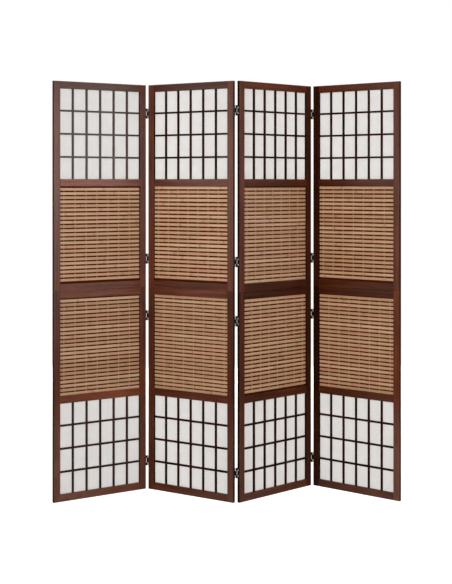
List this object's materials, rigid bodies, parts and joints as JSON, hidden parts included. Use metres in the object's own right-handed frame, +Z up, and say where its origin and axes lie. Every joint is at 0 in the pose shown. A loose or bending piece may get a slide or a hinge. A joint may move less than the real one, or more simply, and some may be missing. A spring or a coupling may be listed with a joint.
{
  "type": "folding screen",
  "caption": "Free-standing folding room divider: hinged dark wood panels, each with papered lattice windows at top and bottom and bamboo slat blinds between them.",
  "frame": {"origin": "on the floor, at the centre of the standing screen's footprint box", "axes": "+Z up, +Y from the front to the back, +X to the right of someone facing the front"},
  "size_m": [1.4752, 0.34, 1.78],
  "materials": {
    "stained_wood": "satin",
    "shoji_paper": "matte",
    "bamboo": "satin",
    "dark_cloth": "matte",
    "thread": "matte",
    "dowel_wood": "matte",
    "black_steel": "satin",
    "bright_steel": "brushed"
  },
  "bodies": {
    "panel_1": {"panel_1_upper_stiles": "stained_wood", "panel_1_upper_rails": "stained_wood", "panel_1_lower_stiles": "stained_wood", "panel_1_lower_rails": "stained_wood", "panel_1_upper_lattice": "stained_wood", "panel_1_lower_lattice": "stained_wood", "panel_1_shoji_sheets": "shoji_paper", "panel_1_bamboo_slats": "bamboo", "panel_1_blind_backing": "dark_cloth", "panel_1_binding_threads": "thread", "panel_1_joining_dowels": "dowel_wood", "panel_1_hinge_screws": "bright_steel", "hinges_12_left_leaves": "black_steel"},
    "panel_2": {"panel_2_upper_stiles": "stained_wood", "panel_2_upper_rails": "stained_wood", "panel_2_lower_stiles": "stained_wood", "panel_2_lower_rails": "stained_wood", "panel_2_upper_lattice": "stained_wood", "panel_2_lower_lattice": "stained_wood", "panel_2_shoji_sheets": "shoji_paper", "panel_2_bamboo_slats": "bamboo", "panel_2_blind_backing": "dark_cloth", "panel_2_binding_threads": "thread", "panel_2_joining_dowels": "dowel_wood", "panel_2_hinge_screws": "bright_steel", "hinges_12_right_leaves": "black_steel", "hinges_23_left_leaves": "black_steel"},
    "panel_3": {"panel_3_upper_stiles": "stained_wood", "panel_3_upper_rails": "stained_wood", "panel_3_lower_stiles": "stained_wood", "panel_3_lower_rails": "stained_wood", "panel_3_upper_lattice": "stained_wood", "panel_3_lower_lattice": "stained_wood", "panel_3_shoji_sheets": "shoji_paper", "panel_3_bamboo_slats": "bamboo", "panel_3_blind_backing": "dark_cloth", "panel_3_binding_threads": "thread", "panel_3_joining_dowels": "dowel_wood", "panel_3_hinge_screws": "bright_steel", "hinges_23_right_leaves": "black_steel", "hinges_34_left_leaves": "black_steel"},
    "panel_4": {"panel_4_upper_stiles": "stained_wood", "panel_4_upper_rails": "stained_wood", "panel_4_lower_stiles": "stained_wood", "panel_4_lower_rails": "stained_wood", "panel_4_upper_lattice": "stained_wood", "panel_4_lower_lattice": "stained_wood", "panel_4_shoji_sheets": "shoji_paper", "panel_4_bamboo_slats": "bamboo", "panel_4_blind_backing": "dark_cloth", "panel_4_binding_threads": "thread", "panel_4_joining_dowels": "dowel_wood", "panel_4_hinge_screws": "bright_steel", "hinges_34_right_leaves": "black_steel"},
    "link_12": {"hinges_12_links": "black_steel", "hinges_12_pins": "bright_steel"},
    "link_23": {"hinges_23_links": "black_steel", "hinges_23_pins": "bright_steel"},
    "link_34": {"hinges_34_links": "black_steel", "hinges_34_pins": "bright_steel"}
  },
  "joints": [
    {"name": "fold_12_back_to_back", "type": "hinge", "parent": "panel_2", "child": "link_12", "pos_m": [-0.34455, 0.10257, 0], "axis": [0, 0, 1], "range_deg": [-180, 0]},
    {"name": "fold_12_front_to_front", "type": "hinge", "parent": "link_12", "child": "panel_1", "pos_m": [-0.35292, 0.09012, 0], "axis": [0, 0, 1], "range_deg": [-68, 112]},
    {"name": "fold_23_front_to_front", "type": "hinge", "parent": "panel_2", "child": "link_23", "pos_m": [0.02972, -0.167, 0], "axis": [0, 0, 1], "range_deg": [-180, 0]},
    {"name": "fold_23_back_to_back", "type": "hinge", "parent": "link_23", "child": "panel_3", "pos_m": [0.03808, -0.15455, 0], "axis": [0, 0, 1], "range_deg": [-78, 102]},
    {"name": "fold_34_front_to_front", "type": "hinge", "parent": "panel_3", "child": "link_34", "pos_m": [0.37958, 0.15549, 0], "axis": [0, 0, -1], "range_deg": [-84, 96]},
    {"name": "fold_34_back_to_back", "type": "hinge", "parent": "link_34", "child": "panel_4", "pos_m": [0.3892, 0.167, 0], "axis": [0, 0, -1], "range_deg": [-180, 0]}
  ]
}
